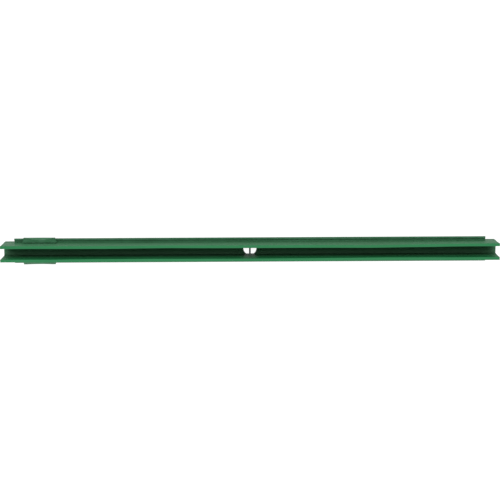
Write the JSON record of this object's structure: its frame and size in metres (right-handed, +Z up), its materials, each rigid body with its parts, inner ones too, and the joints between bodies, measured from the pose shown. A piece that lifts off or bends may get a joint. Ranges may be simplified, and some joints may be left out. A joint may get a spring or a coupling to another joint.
{
  "type": "squeegee blade cassette",
  "caption": "Long, narrow double-lip squeegee cassette: a rigid clip-on carrier holds parallel soft lips, with finger pads at one end and a round hole with a cross rib at mid-length.",
  "frame": {"origin": "on the plane that the clip legs stand on, below the middle of the bar", "axes": "+X along the bar, away from the finger pads; +Y across it, towards the rear lip; +Z up to the lip tips"},
  "size_m": [0.5, 0.0272, 0.04],
  "materials": {
    "carrier_polypropylene": "fine matt moulded surface, food-grade green",
    "lip_rubber": "smooth satin thermoplastic rubber, food-grade green"
  },
  "bodies": {
    "carrier": {"carrier_plate": "carrier_polypropylene", "front_rim": "carrier_polypropylene", "rear_rim": "carrier_polypropylene", "front_clip_leg": "carrier_polypropylene", "rear_clip_leg": "carrier_polypropylene", "centre_rib": "carrier_polypropylene", "front_finger_pad": "carrier_polypropylene", "rear_finger_pad": "carrier_polypropylene", "lip_web": "lip_rubber", "front_lip_root": "lip_rubber", "rear_lip_root": "lip_rubber"},
    "front_blade": {"front_lip": "lip_rubber"},
    "rear_blade": {"rear_lip": "lip_rubber"}
  },
  "joints": [
    {"name": "front_lip_flex", "type": "hinge", "parent": "carrier", "child": "front_blade", "pos_m": [0, -0.00655, 0.021], "axis": [1, 0, 0], "range_deg": [-12, 24], "stiffness_Nm_per_rad": 0.45},
    {"name": "rear_lip_flex", "type": "hinge", "parent": "carrier", "child": "rear_blade", "pos_m": [0, 0.00655, 0.021], "axis": [-1, 0, 0], "range_deg": [-12, 24], "stiffness_Nm_per_rad": 0.45}
  ]
}
